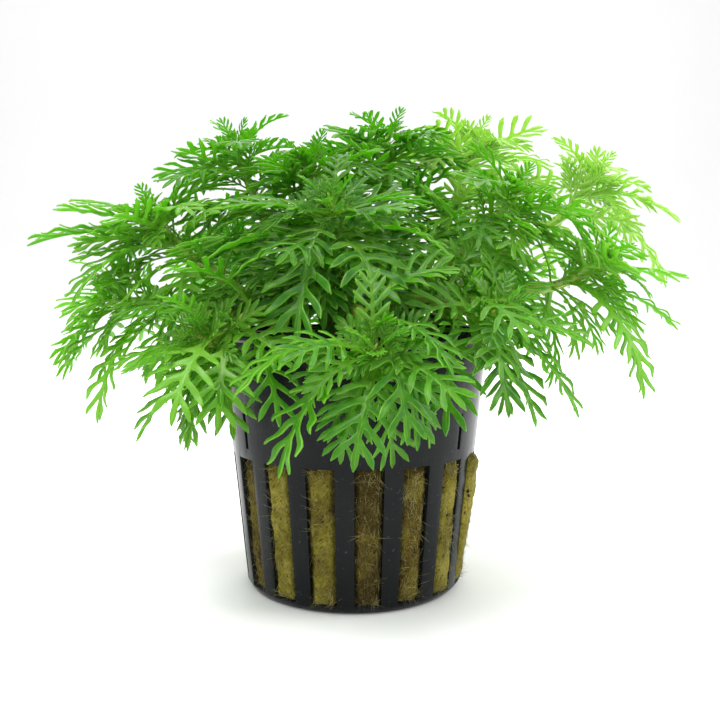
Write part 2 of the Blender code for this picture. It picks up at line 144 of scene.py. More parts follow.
lip_bottom = POT_HEIGHT - LIP_DEPTH
wall_heights = [SLOT_BOTTOM, 8 * MM, 14 * MM, 20 * MM, SLOT_TOP, SLIT_BOTTOM, SLIT_TOP, 44 * MM]
pot_rings = [
    *((BASE_RADIUS - inset, height) for inset, height in FOOT_PROFILE),
    *((wall_radius(height), height) for height in wall_heights),
    (wall_radius(lip_bottom), lip_bottom - LIP_PROUD),
    (RIM_RADIUS + LIP_PROUD, lip_bottom),
    (RIM_RADIUS + LIP_PROUD, POT_HEIGHT),
]
bpy.ops.mesh.primitive_circle_add(
    vertices=POT_SEGMENTS,
    radius=pot_rings[0][0],
    fill_type="NGON",
    rotation=(0, 0, (FIRST_SLOT - pi / 2) % POT_STEP),
)
pot = bpy.context.object
pot.name = "net_pot"
bpy.ops.object.transform_apply(location=True, rotation=True, scale=True)
bpy.ops.object.mode_set(mode="EDIT")
bpy.ops.mesh.select_all(action="SELECT")
draw_up(pot_rings)
bpy.ops.mesh.select_all(action="SELECT")
bpy.ops.mesh.normals_make_consistent(inside=False)
select_faces(lambda spot: spot.z > POT_HEIGHT - EDGE_ROUND or in_slot(spot) or in_slit(spot))
bpy.ops.mesh.delete(type="FACE")
bpy.ops.object.mode_set(mode="OBJECT")
shell = pot.modifiers.new("Wall", "SOLIDIFY")
shell.thickness = WALL
shell.offset = -1
shell.use_even_offset = True
apply_all(pot)
for number in range(DRAIN_HOLES):
    turn = number * 2 * pi / DRAIN_HOLES
    bpy.ops.mesh.primitive_cylinder_add(
        vertices=32,
        radius=DRAIN_RADIUS,
        depth=6 * WALL,
        location=(DRAIN_RING * cos(turn), DRAIN_RING * sin(turn), 0),
    )
    drill = bpy.context.object
    hole = pot.modifiers.new("Drain", "BOOLEAN")
    hole.object = drill
    apply_all(pot)
    bpy.data.objects.remove(drill)
rounding = pot.modifiers.new("Moulded edges", "BEVEL")
rounding.width = EDGE_ROUND
rounding.segments = 2
rounding.limit_method = "ANGLE"
rounding.angle_limit = SHARP_EDGE
apply_all(pot)
bpy.ops.object.select_all(action="DESELECT")
pot.select_set(True)
bpy.ops.object.shade_smooth_by_angle(angle=SHARP_EDGE)


def new_material(name, **values):
    """A material, its nodes and links, and its Principled shader with the values set on it."""
    made = bpy.data.materials.new(name)
    made.use_nodes = True
    nodes, links = made.node_tree.nodes, made.node_tree.links
    shader = nodes["Principled BSDF"]
    for socket, value in values.items():
        shader.inputs[socket.replace("_", " ")].default_value = value
    return made, nodes, links, shader


def object_noise(nodes, links, scale, drawn=(1, 1, 1), turn=(0, 0, 0), detail=3.0, roughness=0.55):
    """Noise over the object's own coordinates, its pattern drawn out and then turned."""
    place = nodes.new("ShaderNodeTexCoord")
    mapping = nodes.new("ShaderNodeMapping")
    mapping.vector_type = "TEXTURE"
    mapping.inputs["Scale"].default_value = drawn
    mapping.inputs["Rotation"].default_value = turn
    noise = nodes.new("ShaderNodeTexNoise")
    noise.inputs["Scale"].default_value = scale
    noise.inputs["Detail"].default_value = detail
    noise.inputs["Roughness"].default_value = roughness
    links.new(place.outputs["Object"], mapping.inputs["Vector"])
    links.new(mapping.outputs["Vector"], noise.inputs["Vector"])
    return noise.outputs["Fac"]


def grey(level):
    return (level, level, level)


def ramp(nodes, links, source, *stops):
    """A colour ramp over source, with stops of (place, colour)."""
    made = nodes.new("ShaderNodeValToRGB")
    points = made.color_ramp.elements
    while len(points) < len(stops):
        points.new(0.5)
    for point, (place, colour) in zip(points, stops):
        point.position = place
        point.color = (*colour, 1)
    links.new(source, made.inputs["Fac"])
    return made.outputs["Color"]


def bump(nodes, links, shader, source, depth):
    """Adds a bump of that depth in metres to the shader, over any bump it has."""
    made = nodes.new("ShaderNodeBump")
    made.inputs["Distance"].default_value = depth
    links.new(source, made.inputs["Height"])
    if shader.inputs["Normal"].is_linked:
        links.new(shader.inputs["Normal"].links[0].from_socket, made.inputs["Normal"])
    links.new(made.outputs["Normal"], shader.inputs["Normal"])


def mix(nodes, links, share, first, second, blend="MIX"):
    """Colours first and second blended by share, each a socket or a plain colour."""
    made = nodes.new("ShaderNodeMix")
    made.data_type, made.blend_type = "RGBA", blend
    for value, socket in ((share, "Factor"), (first, "A"), (second, "B")):
        target = next(s for s in made.inputs if s.name == socket and s.type != "VECTOR" and s.enabled)
        if isinstance(value, bpy.types.NodeSocket):
            links.new(value, target)
        else:
            target.default_value = value if socket == "Factor" else (*value, 1)
    return next(s for s in made.outputs if s.enabled)


black_plastic, nodes, links, shader = new_material("black_plastic", Specular_IOR_Level=0.11)
cloudy = object_noise(nodes, links, 90, detail=4)
specks = object_noise(nodes, links, 1500, detail=1)
scuffs = object_noise(nodes, links, 300, drawn=(1, 1, 8), detail=5, roughness=0.7)
plain = ramp(nodes, links, cloudy, (0.3, (0.005, 0.006, 0.007)), (0.75, (0.009, 0.011, 0.011)))
dust = ramp(nodes, links, specks, (0.70, grey(0)), (0.78, grey(0.35)))
links.new(mix(nodes, links, dust, plain, (0.10, 0.10, 0.11)), shader.inputs["Base Color"])
gloss = ramp(nodes, links, scuffs, (0.35, grey(0.16)), (0.62, grey(0.26)), (0.8, grey(0.5)))
links.new(gloss, shader.inputs["Roughness"])
bump(nodes, links, shader, cloudy, 0.06 * MM)
bump(nodes, links, shader, scuffs, 0.008 * MM)
pot.data.materials.append(black_plastic)
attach(pot, "root")
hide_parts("pot")

# Mineral wool: an olive-brown plug of matted fibre that fills the pot to below its rim. It swells out
# of some slots, most at one on the right, shrinks back in others, and has a pit for the shoots.
# PAD_PROUD, in mm, and the darkness of each slot's wool go slot by slot, from the front one round to the
# right. That darkness is partly the wool's own browner colour and partly painted shade, which the slots
# set back behind the wall get more of.
WOOL_GAP = 0.3 * MM
WOOL_FLOOR = 1.7 * MM
WOOL_ROWS = 34
WOOL_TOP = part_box("mineral_wool")[1].z
PIT_RADIUS = 11.5 * MM
PIT_MOUTH = 14.5 * MM
PIT_WAIST = 13 * MM
PIT_DEPTH = 7 * MM
PIT_INSETS = 3
TOP_RINGS = (20 * MM, 17 * MM, PIT_MOUTH)
PAD_EDGE = 0.7 * MM
PAD_PROUD = (
    -0.1, -0.2, 0.2, 1.2, 0.1, -0.3, 0.2, -0.5, 0.1,
    -0.1, 0.3, -0.4, 0.0, -0.9, -0.5, 0.1, 0.1,
)
SWOLLEN_PAD, SWELL_HEIGHT = 3, 18 * MM
LUMPS = (("Clumps", 3.2 * MM, 0.7 * MM), ("Tufts", 0.9 * MM, 0.45 * MM))
LUMP_MIDDLE = 0.62
# Darkness of the wool in each slot: partly its own browner colour, partly painted shade.
SLOT_TONE_AND_SHADE = (
    0.98, 0.74, 0.38, 0.15, 0.3, 0.6, 0.2, 0.8, 0.4,
    0.5, 0.2, 0.7, 0.4, 0.9, 0.78, 0.22, 0.50,
)
# A darker band at each slot's top edge: painted shade under the edge, with the dark holes there.
TOP_BAND_HOLES_AND_SHADE, BAND_REACH = 0.35, 5 * MM
PATCHINESS = 1.7
FIBRES = 9000
EDGE_FIBRES = 500
draw = Random(5)

wool_heights = [WOOL_FLOOR + (WOOL_TOP - WOOL_FLOOR) * row / WOOL_ROWS for row in range(WOOL_ROWS + 1)]
wool_rings = [(wall_radius(height) - WALL - WOOL_GAP, height) for height in wool_heights]
bpy.ops.mesh.primitive_circle_add(
    vertices=POT_SEGMENTS,
    radius=wool_rings[0][0],
    fill_type="NGON",
    location=(0, 0, WOOL_FLOOR),
    rotation=(0, 0, (FIRST_SLOT - pi / 2) % POT_STEP),
)
wool = bpy.context.object
wool.name = "wool_plug"
bpy.ops.object.transform_apply(location=True, rotation=True, scale=True)
bpy.ops.object.mode_set(mode="EDIT")
bpy.ops.mesh.select_all(action="SELECT")
draw_up(wool_rings)
for radius in TOP_RINGS:
    bpy.ops.mesh.inset(thickness=wool_rings[-1][0] / 8)
    ring = Vector(next(v.co for v in bmesh.from_edit_mesh(wool.data).verts if v.select)).xy.length
    bpy.ops.transform.resize(value=(radius / ring, radius / ring, 1), center_override=(0, 0, WOOL_TOP))
pit_floor = WOOL_TOP - PIT_DEPTH
draw_up([(PIT_MOUTH, WOOL_TOP), (PIT_WAIST, WOOL_TOP - PIT_DEPTH / 2), (PIT_RADIUS, pit_floor)])
for _ in range(PIT_INSETS):
    bpy.ops.mesh.inset(thickness=PIT_RADIUS / (PIT_INSETS + 1))
bpy.ops.mesh.select_all(action="SELECT")
bpy.ops.mesh.normals_make_consistent(inside=False)
bm = bmesh.from_edit_mesh(wool.data)
for vert in bm.verts:
    radius = vert.co.xy.length
    if radius < wall_radius(vert.co.z) - WALL - 2 * WOOL_GAP:
        continue
    number, turn = off_slot(vert.co)
    side = (SLOT_HALF_TURN - abs(turn)) * radius / PAD_EDGE
    end = min(vert.co.z - SLOT_BOTTOM + WOOL_GAP, SLOT_TOP - vert.co.z) / PAD_EDGE
    inside = max(0, min(1, side)) * max(0, min(1, end))
    swollen = min(1, vert.co.z / SWELL_HEIGHT) if number == SWOLLEN_PAD else 1
    reach = WALL + WOOL_GAP + PAD_PROUD[number] * swollen * MM
    vert.co.xy *= 1 + inside * reach / radius
bmesh.update_edit_mesh(wool.data)
bpy.ops.mesh.select_all(action="SELECT")
bpy.ops.mesh.subdivide(number_cuts=1, smoothness=0.5)
bpy.ops.object.mode_set(mode="OBJECT")
for title, size, strength in LUMPS:
    cloud = bpy.data.textures.new(title, "CLOUDS")
    cloud.noise_scale = size
    lumps = wool.modifiers.new(title, "DISPLACE")
    lumps.texture = cloud
    lumps.strength = strength
    lumps.mid_level = LUMP_MIDDLE
apply_all(wool)
wool.data.shade_smooth()
tone_and_shade = []
for vert in wool.data.vertices:
    number, _ = off_slot(vert.co)
    # Darker towards each slot's top edge: painted shade with the dark holes there.
    by_band = max(0, 1 - abs(SLOT_TOP - vert.co.z) / BAND_REACH)
    tone_and_shade.append(SLOT_TONE_AND_SHADE[number] + TOP_BAND_HOLES_AND_SHADE * by_band)
wool.data.attributes.new("tone_and_shade", "FLOAT", "POINT").data.foreach_set("value", tone_and_shade)


def attribute(nodes, name):
    """Value of a named attribute of the mesh."""
    made = nodes.new("ShaderNodeAttribute")
    made.attribute_name = name
    return made.outputs["Fac"]


def combine(nodes, links, operation, first, second):
    """A Math node over two values, each a socket or a number."""
    made = nodes.new("ShaderNodeMath")
    made.operation = operation
    for value, target in zip((first, second), made.inputs):
        if isinstance(value, bpy.types.NodeSocket):
            links.new(value, target)
        else:
            target.default_value = value
    return made.outputs["Value"]


wool_mat, nodes, links, shader = new_material("mineral_wool", Roughness=0.95, Specular_IOR_Level=0.06)
patches = object_noise(nodes, links, 190, detail=3)
swirl = ramp(nodes, links, object_noise(nodes, links, 330, detail=1), (0.44, grey(0)), (0.56, grey(1)))
left_lying, right_lying = (
    object_noise(nodes, links, 4200, drawn=(1, 1, 7), turn=turn, detail=2, roughness=0.65)
    for turn in ((0.5, 0.7, 0), (-0.4, -0.6, 0))
)
strands = mix(nodes, links, swirl, left_lying, right_lying)
uneven = combine(nodes, links, "MULTIPLY", combine(nodes, links, "SUBTRACT", patches, 0.5), PATCHINESS)
# Per-slot darkness, partly painted shade, made patchy by the wool's own blotches.
darkness_and_shade = combine(nodes, links, "ADD", attribute(nodes, "tone_and_shade"), uneven)
hue = ramp(
    nodes,
    links,
    darkness_and_shade,
    (0.0, (0.30, 0.26, 0.050)),
    (0.4, (0.165, 0.145, 0.020)),
    (0.75, (0.092, 0.070, 0.013)),
    (1.0, (0.045, 0.032, 0.008)),
)
shade = ramp(nodes, links, strands, (0.32, (0.35, 0.33, 0.30)), (0.52, grey(1)), (0.72, (1.6, 1.55, 1.4)))
shaded = mix(nodes, links, 1.0, hue, shade, blend="MULTIPLY")
pores = ramp(nodes, links, object_noise(nodes, links, 700, detail=2), (0.30, grey(1)), (0.36, grey(0)))
links.new(mix(nodes, links, pores, shaded, (0.022, 0.016, 0.008)), shader.inputs["Base Color"])
bump(nodes, links, shader, strands, 0.25 * MM)
bump(nodes, links, shader, patches, 0.8 * MM)
wool.data.materials.append(wool_mat)
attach(wool, "root")
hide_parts("mineral_wool")

# Loose fibres of the wool: fine mineral threads that stick out of the plug in the slots and on its
# top. Each is a thin three-sided spike. Most lie nearly flat, and those at the slots' foot stand out.
FIBRE_RADIUS = 0.035 * MM
FIBRE_LENGTHS = (1.0 * MM, 3.2 * MM)
FIBRE_CLEAR = 0.4 * MM
FIBRE_SUNK = 0.05 * MM
LYING, STANDING = (0.02, 0.3), (0.2, 1.2)
UPRIGHT = 1.6
LOW_BAND = 1.2 * MM
MOST_LEVEL, LEAST_LEVEL = 0.7, 0.3


def joined_copies(name, form, places):
    """One mesh of copies of the form's mesh, each moved by a (3 x 3 matrix, place)."""
    count = len(form.data.vertices)
    corners = np.empty(count * 3)
    form.data.vertices.foreach_get("co", corners)
    corners = corners.reshape(-1, 3)
    faces = np.array([tuple(face.vertices) for face in form.data.polygons])
    turns = np.array([turn for turn, _ in places])
    spots = np.array([spot for _, spot in places])
    points = np.einsum("nij,kj->nki", turns, corners) + spots[:, None]
    numbered = faces[None] + np.arange(len(places))[:, None, None] * count
    numbered = numbered.reshape(-1, faces.shape[1])
    mesh = bpy.data.meshes.new(name)
    mesh.from_pydata(points.reshape(-1, 3).tolist(), [], numbered.tolist())
    made = bpy.data.objects.new(name, mesh)
    bpy.context.scene.collection.objects.link(made)
    return made


bpy.ops.mesh.primitive_cone_add(vertices=3, radius1=1, radius2=0, depth=1, location=(0, 0, 0.5))
thread = bpy.context.object
bpy.ops.object.transform_apply(location=True, rotation=True, scale=True)
bpy.ops.object.mode_set(mode="EDIT")
bpy.ops.mesh.select_all(action="SELECT")
bpy.ops.mesh.quads_convert_to_tris()
bpy.ops.object.mode_set(mode="OBJECT")
spots = []
for face in wool.data.polygons:
    open_side = in_slot(face.center) and face.normal.z < MOST_LEVEL
    if open_side or (face.center.z > WOOL_TOP - MM and face.normal.z > LEAST_LEVEL):
        spots.append((face.center.copy(), face.normal.copy(), open_side))
spots.sort(key=lambda spot: tuple(round(value, 6) for value in spot[0]))
low_spots = [spot for spot in spots if spot[0].z < SLOT_BOTTOM + LOW_BAND]
fibres = []
for number in range(FIBRES + EDGE_FIBRES):
    spot, normal, open_side = draw.choice(spots if number < FIBRES else low_spots)
    along = Vector((draw.gauss(0, 1), draw.gauss(0, 1), draw.gauss(0, 1) * (UPRIGHT if open_side else 1)))
    lift = draw.uniform(*(LYING if number < FIBRES else STANDING))
    along = (along - along.dot(normal) * normal).normalized() + normal * lift
    along.normalize()
    across = along.orthogonal().normalized()
    beside = along.cross(across)
    length = draw.uniform(*FIBRE_LENGTHS)
    width = FIBRE_RADIUS * draw.uniform(0.6, 1.3)
    turn = np.array([across * width, beside * width, along * length]).T
    if (spot + along * length).z > FIBRE_CLEAR:
        fibres.append((turn, spot - normal * FIBRE_SUNK))
threads = joined_copies("wool_fibres", thread, fibres)
bpy.data.objects.remove(thread)
thread_mat, nodes, links, shader = new_material("wool_fibre", Roughness=0.6, Specular_IOR_Level=0.4)
pale = object_noise(nodes, links, 400, detail=2)
straw = ramp(nodes, links, pale, (0.35, (0.10, 0.08, 0.025)), (0.65, (0.36, 0.32, 0.12)))
links.new(straw, shader.inputs["Base Color"])
threads.data.materials.append(thread_mat)
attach(threads, "root")
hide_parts("mineral_wool")

# Stems: fleshy, ridged and pale yellow-green, rooted in the wool. Each runs through the rings of its
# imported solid, from the foot in the pit up to the growing tip, with STEM_RADII in mm at the rings.
STEM_SIDES = 6
STEM_RINGS = 9
CROWN_RING = 5
STEM_RADII = (1.3, 1.25, 1.2, 1.1, 1.0, 0.85, 0.65, 0.45, 0.3, 0.1)
RIDGES = 7
RIDGE_DIP = 0.82
GREEN_FROM = WOOL_TOP + 22 * MM
SAME_SPOT = 0.01 * MM
SAME_HEIGHT = 0.05 * MM
WELD = 0.001 * MM
SHOOTS = sorted(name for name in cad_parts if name.startswith("stem_"))
# The shoots at the back right are painted paler still: a painted-light copy of the leaf finish.
LIT_PALE_SHOOTS = ("far_right", "top_right")


def centre(points):
    return sum(points, Vector()) / len(points)


def ring_walk(name):
    """Middles of a packed stem's rings from foot to bud, and (base, blade) points of its young leaves."""
    bm = bmesh.new()
    bm.from_mesh(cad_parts[name].data)
    bmesh.ops.remove_doubles(bm, verts=bm.verts, dist=SAME_SPOT)
    foot = pit_floor + WOOL_GAP
    ring = [v for v in bm.verts if abs(v.co.z - foot) < SAME_HEIGHT and v.co.xy.length < PIT_RADIUS]
    rings, passed = [ring], set(ring)
    for _ in range(STEM_RINGS):
        middle = centre([vert.co for vert in ring])
        ahead = {edge.other_vert(vert) for vert in ring for edge in vert.link_edges} - passed
        ring = sorted(ahead, key=lambda vert: (vert.co - middle).length)[:STEM_SIDES]
        rings.append(ring)
        passed |= set(ring)
    rings[-1] = rings[-1][:1]
    tube = {vert for ring in rings for vert in ring}
    young, seen = [], set(tube)
    for start in bm.verts:
        if start in seen:
            continue
        seen.add(start)
        blade, edge_of = [start], [start]
        while edge_of:
            near = {edge.other_vert(vert) for vert in edge_of for edge in vert.link_edges}
            edge_of = [vert for vert in near if vert not in seen]
            seen.update(edge_of)
            blade += edge_of
        base = {edge.other_vert(vert) for vert in blade for edge in vert.link_edges} & tube
        young.append(([vert.co.copy() for vert in base], [vert.co.copy() for vert in blade]))
    middles = [centre([vert.co for vert in ring]) for ring in rings]
    bm.free()
    return middles, young


walks = {name: ring_walk(name) for name in SHOOTS}
stem_mat, nodes, links, shader = new_material(
    "green_stem",
    Roughness=0.38,
    Specular_IOR_Level=0.45,
    Subsurface_Weight=0.25,
    Subsurface_Scale=1.5 * MM,
)
shader.inputs["Subsurface Radius"].default_value = (1.0, 1.0, 0.3)
streaks = object_noise(nodes, links, 260, drawn=(1, 1, 3), detail=3)
low_high = nodes.new("ShaderNodeSeparateXYZ")
links.new(nodes.new("ShaderNodeTexCoord").outputs["Object"], low_high.inputs["Vector"])
rise = nodes.new("ShaderNodeMapRange")
rise.inputs["From Min"].default_value = pit_floor
rise.inputs["From Max"].default_value = GREEN_FROM
links.new(low_high.outputs["Z"], rise.inputs["Value"])
green = ramp(nodes, links, streaks, (0.3, (0.17, 0.36, 0.020)), (0.7, (0.32, 0.55, 0.05)))
root_end = ramp(nodes, links, streaks, (0.3, (0.24, 0.22, 0.05)), (0.7, (0.46, 0.46, 0.12)))
links.new(mix(nodes, links, rise.outputs["Result"], root_end, green), shader.inputs["Base Color"])
bump(nodes, links, shader, streaks, 0.1 * MM)

bpy.ops.curve.primitive_bezier_circle_add(radius=1)
ridged = bpy.context.object
ridged.data.splines.remove(ridged.data.splines[0])
outline = ridged.data.splines.new("POLY")
outline.points.add(2 * RIDGES - 1)
outline.use_cyclic_u = True
for index, point in enumerate(outline.points):
    radius = 1 if index % 2 else RIDGE_DIP
    turn = index * pi / RIDGES
    point.co = (radius * cos(turn), radius * sin(turn), 0, 1)
for name in SHOOTS:
    middles, _ = walks[name]
    bpy.ops.object.select_all(action="DESELECT")
    bpy.ops.curve.primitive_nurbs_path_add()
    line = bpy.context.object
    spline = line.data.splines[0]
    spline.points.add(len(middles) - len(spline.points))
    for point, middle, radius in zip(spline.points, middles, STEM_RADII):
        point.co = (*middle, 1)
        point.radius = radius * MM
    spline.order_u = 3
    spline.use_endpoint_u = True
    line.data.resolution_u = 8
    line.data.bevel_mode = "OBJECT"
    line.data.bevel_object = ridged
    line.data.use_fill_caps = True
    bpy.ops.object.convert(target="MESH")
    stem = bpy.context.object
    stem.name = name.replace("stem_", "ridged_stem_")
    bpy.ops.object.mode_set(mode="EDIT")
    bpy.ops.mesh.select_all(action="SELECT")
    bpy.ops.mesh.remove_doubles(threshold=WELD)
    bpy.ops.mesh.normals_make_consistent(inside=False)
    bpy.ops.object.mode_set(mode="OBJECT")
    bpy.ops.object.shade_smooth_by_angle(angle=radians(60))
    stem.data.materials.clear()
    stem.data.materials.append(stem_mat)
    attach(stem, "root")
    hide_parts(name)
bpy.data.objects.remove(ridged)

# Leaf forms: thin leaves cut almost to the midrib into narrow lobes, on a bare stalk a third of their
# length. There are two of the grown leaf, one of them smoother, a close-lobed young leaf and a broad-
# lobed bud leaf. Each is modelled flat, along +Y from the origin, and every leaf is a bent copy of one.
FORM_LENGTH = 22 * MM
STALK_END = 6.6 * MM
STALK_WIDTH = 1.05 * MM
SHEATH_WIDTH = 1.7 * MM
SHEATH_DEPTH = 1.4 * MM
SHEATH_NARROWS = 0.8
STALK_ROWS = (0.3, 0.65, 1.0)
RIB_SEGMENT = 0.775 * MM
RIB_WIDTH = 1.1 * MM
RIB_TAPER = 0.35
TIP_SHARES = (0.3, 0.4, 0.3)
LOBE_SHARES = (0.2, 0.3, 0.25, 0.25)
LOBE_CURVE = (0.9, 1.0, 1.15, 1.3)
SLIM_LOBES = (0.75, 1.1, 1.05, 0.12)
YOUNG_LOBES = (0.95, 1.4, 1.25, 0.15)
BUD_LOBES = (1.7, 2.4, 2.0, 0.3)
CHANNEL = 0.2 * MM
LOBE_RIB = 0.75
LEAF_THICKNESS = 0.25 * MM
NEAR = 0.1 * MM


def select_edges(test):
    """In edit mode, leaves only the open edges selected whose ends all pass the test."""
    bpy.ops.mesh.select_mode(type="EDGE")
    bpy.ops.mesh.select_all(action="DESELECT")
    mesh = bpy.context.edit_object.data
    bm = bmesh.from_edit_mesh(mesh)
    for edge in bm.edges:
        if edge.is_boundary and all(test(vert.co) for vert in edge.verts):
            edge.select_set(True)
    bmesh.update_edit_mesh(mesh)


def draw_on(step, width, turn=0.0):
    """Extrudes the selected edges by a step, turns their row about its middle, and sets its width."""
    bpy.ops.mesh.extrude_region_move(TRANSFORM_OT_translate={"value": step})
    verts = bmesh.from_edit_mesh(bpy.context.edit_object.data).verts
    ends = [vert.co.copy() for vert in verts if vert.select]
    middle = centre(ends)
    if turn:
        bpy.ops.transform.rotate(value=turn, orient_axis="Z", center_override=middle)
    wide = max((a - b).length for a in ends for b in ends)
    bpy.ops.transform.resize(value=(width / wide,) * 3, center_override=middle)


def model_leaf(name, lobes, widths, finer):
    """A flat leaf, with lobes of (side, first rib segment, length, lean in degrees), widths in mm."""
    bpy.ops.object.select_all(action="DESELECT")
    bpy.ops.mesh.primitive_grid_add(x_subdivisions=2, y_subdivisions=1, size=1)
    form = bpy.context.object
    form.name = name
    bpy.ops.object.mode_set(mode="EDIT")
    bpy.ops.mesh.select_all(action="SELECT")
    bpy.ops.transform.resize(value=(SHEATH_WIDTH, SHEATH_DEPTH, 1), center_override=(0, 0, 0))
    bpy.ops.transform.translate(value=(0, -SHEATH_DEPTH / 2, 0))
    select_edges(lambda spot: abs(spot.y) < SAME_SPOT)
    bpy.ops.transform.resize(value=(SHEATH_NARROWS, 1, 1), center_override=(0, 0, 0))
    for share in STALK_ROWS:
        last = max(vert.co.y for vert in bmesh.from_edit_mesh(form.data).verts)
        draw_on((0, share * STALK_END - last, 0), STALK_WIDTH)
    segments = 2 + max(first for _, first, _, _ in lobes)
    for number in range(segments):
        taper = 1 - RIB_TAPER * number / segments
        draw_on((0, RIB_SEGMENT, 0), RIB_WIDTH * taper)
    end = STALK_END + segments * RIB_SEGMENT
    for share, width in zip(TIP_SHARES, widths[1:]):
        draw_on((0, (FORM_LENGTH - end) * share, 0), width * MM)
    for side, first, length, lean in lobes:
        low = STALK_END + first * RIB_SEGMENT - NEAR
        high = low + 2 * RIB_SEGMENT + 2 * NEAR
        select_edges(lambda spot: low < spot.y < high and NEAR < side * spot.x < RIB_WIDTH * 0.6)
        turned = 0.0
        for share, curve, width in zip(LOBE_SHARES, LOBE_CURVE, widths):
            heading = radians(lean) * curve
            step = Vector((side * cos(heading), sin(heading), 0)) * length * share
            draw_on(step, width * MM, -side * (heading - turned))
            turned = heading
    bpy.ops.mesh.select_all(action="SELECT")
    bpy.ops.mesh.normals_make_consistent(inside=False)
    bm = bmesh.from_edit_mesh(form.data)
    if sum(face.normal.z for face in bm.faces) < 0:
        bpy.ops.mesh.flip_normals()
    rib = bm.verts.layers.float.new("rib")
    for vert in bm.verts:
        midline = 1.0 if abs(vert.co.x) < NEAR else LOBE_RIB
        vert[rib] = 0.0 if vert.is_boundary else midline
        vert.co.z -= vert[rib] * CHANNEL
    bmesh.update_edit_mesh(form.data)
    bpy.ops.object.mode_set(mode="OBJECT")
    if finer:
        smooth = form.modifiers.new("Rounded lobes", "SUBSURF")
        smooth.levels = smooth.render_levels = 1
    body = form.modifiers.new("Leaf body", "SOLIDIFY")
    body.thickness = LEAF_THICKNESS
    body.offset = 0
    apply_all(form)
    form.data.shade_smooth()
    return form


open_lobes = [
    (1, 0, 5.2 * MM, 30), (-1, 1, 5.8 * MM, 32),
    (1, 4, 7.0 * MM, 34), (-1, 5, 7.0 * MM, 37),
    (1, 8, 6.6 * MM, 40), (-1, 9, 6.2 * MM, 43),
    (1, 12, 5.2 * MM, 47), (-1, 13, 4.6 * MM, 50),
]
close_lobes = [
    (-1, 0, 5.0 * MM, 38), (1, 1, 5.6 * MM, 40),
    (-1, 4, 6.4 * MM, 42), (1, 5, 6.4 * MM, 44),
    (-1, 8, 6.0 * MM, 47), (1, 9, 5.6 * MM, 49),
    (-1, 12, 4.6 * MM, 53), (1, 13, 4.2 * MM, 56),
]
few_lobes = [
    (1, 0, 5.6 * MM, 36), (-1, 1, 6.2 * MM, 38),
    (1, 4, 6.4 * MM, 42), (-1, 5, 6.0 * MM, 45),
    (1, 8, 4.8 * MM, 50), (-1, 9, 4.2 * MM, 53),
]
mature = model_leaf("mature_leaf", open_lobes, SLIM_LOBES, finer=True)
older_leaf = model_leaf("older_leaf", open_lobes, SLIM_LOBES, finer=False)
young_leaf = model_leaf("young_leaf", close_lobes, YOUNG_LOBES, finer=False)
bud_leaf = model_leaf("bud_leaf", few_lobes, BUD_LOBES, finer=False)
LEAST_BEND = 0.05
HALF_SPREAD = 0.24 * FORM_LENGTH
SIDE_DROOP = (0.3, 1.6)
SIDE_WAVE, WAVES_PER_MM = (0.2, 0.5), 1.6
MOST_TWIST = 16


def leaf_pose(root, tip, blade):
    """Length, bend and axes of a packed leaf: an arc from root to tip that its points lie round."""
    span = (tip - root).length
    chord = (tip - root) / span
    offsets = [point - root - (point - root).dot(chord) * chord for point in blade]
    across = Vector(np.linalg.svd(np.array(offsets))[2][0])
    across = (across - across.dot(chord) * chord).normalized()
    upper = across.cross(chord)
    heights = [(point - root).dot(upper) for point in blade]
    if sum(heights) < 0:
        upper, across, heights = -upper, -across, [-height for height in heights]
    shares = [(point - root).dot(chord) / span for point in blade]
    weights = [4 * share * (1 - share) for share in shares]
    sag = sum(h * w for h, w in zip(heights, weights)) / sum(w * w for w in weights)
    bend = max(4 * atan(2 * sag / span), LEAST_BEND)
    out = cos(bend / 2) * chord + sin(bend / 2) * upper
    face_up = cos(bend / 2) * upper - sin(bend / 2) * chord
    return root, out, face_up, span * bend / 2 / sin(bend / 2), bend


def bent_copy(form, name, pose, lit_tone, folds):
    """A copy of a flat form, scaled and bent to a pose, its sides folded up by a slope from folds."""
    root, out, face_up, length, bend = pose
    beside = out.cross(face_up)
    made = form.copy()
    made.data = form.data.copy()
    made.name = made.data.name = name
    bpy.context.scene.collection.objects.link(made)
    flat = np.empty(len(made.data.vertices) * 3)
    made.data.vertices.foreach_get("co", flat)
    across, along, height = flat.reshape(-1, 3).T
    share = along / FORM_LENGTH
    scale = length / FORM_LENGTH
    reach = np.abs(across) / HALF_SPREAD
    height = height + np.abs(across) * draw.uniform(*folds) - draw.uniform(*SIDE_DROOP) * MM * reach**2
    wave = draw.uniform(*SIDE_WAVE) * MM * reach
    height += wave * np.sin(along / MM * WAVES_PER_MM + np.sign(across) + draw.uniform(0, 6))
    twist = radians(draw.uniform(-MOST_TWIST, MOST_TWIST)) * np.clip(share, 0, 1)
    sine, cosine = np.sin(twist), np.cos(twist)
    across, height = across * cosine - height * sine, across * sine + height * cosine
    across, height = across * scale, height * scale
    turned = bend * share
    sweep = length / bend
    points = np.array(root) + np.outer((sweep + height) * np.sin(turned), out)
    points += np.outer((sweep + height) * np.cos(turned) - sweep, face_up)
    points += np.outer(across, beside)
    made.data.vertices.foreach_set("co", points.ravel())
    for title, values in (("lit_tone", np.full(len(across), lit_tone)), ("along", np.clip(share, 0, 1))):
        made.data.attributes.new(title, "FLOAT", "POINT").data.foreach_set("value", values)
    made.data.update()
    return made


# Leaf finish: satin mid green, with a paler midrib and stalk and painted light along the edges, on a leaf
# so thin that light glows through it. Young leaves are paler; outer leaves are painted paler where light
# falls on them, and the shoots at the back right take a still paler, painted-light copy of the finish.
GLOW_SHARE = 0.52
GLOW_TINT = 0.8


